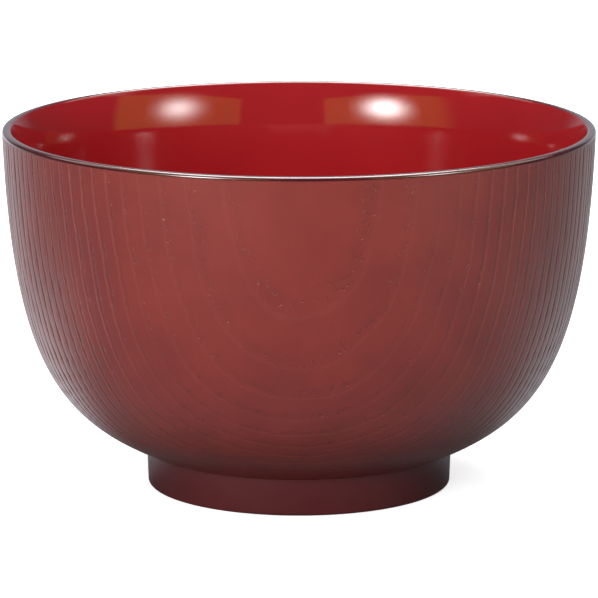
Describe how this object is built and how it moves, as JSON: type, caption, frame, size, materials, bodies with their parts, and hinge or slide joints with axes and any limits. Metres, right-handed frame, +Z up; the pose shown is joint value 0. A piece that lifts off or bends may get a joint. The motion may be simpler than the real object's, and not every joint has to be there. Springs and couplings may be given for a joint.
{
  "type": "rice bowl",
  "caption": "Deep round wooden bowl on a low foot ring, with a glossy vermilion inside, a satin red-brown open-grained outside and a thin dark line round the lip.",
  "frame": {"origin": "centre of the flat standing face of the foot ring", "axes": "+Z up along the axis the bowl is turned about; the bowl is round, so +X and +Y are equal, and -Y faces the camera"},
  "size_m": [0.115, 0.115, 0.0705],
  "materials": {
    "turned_wood": "matte",
    "ground_paste": "matte",
    "vermilion_lacquer": "polished",
    "red_brown_lacquer": "satin",
    "dark_red_brown_lacquer": "satin",
    "dark_lacquer": "gloss"
  },
  "bodies": {
    "root": {"wood_core": "turned_wood", "inner_ground_coat": "ground_paste", "inner_lacquer_coat": "vermilion_lacquer", "rim_lacquer_band": "dark_lacquer", "outer_lacquer_coat": "red_brown_lacquer", "foot_ground_coat": "ground_paste", "foot_ring_lacquer_coat": "dark_red_brown_lacquer", "foot_recess_lacquer_coat": "dark_red_brown_lacquer"}
  },
  "joints": []
}
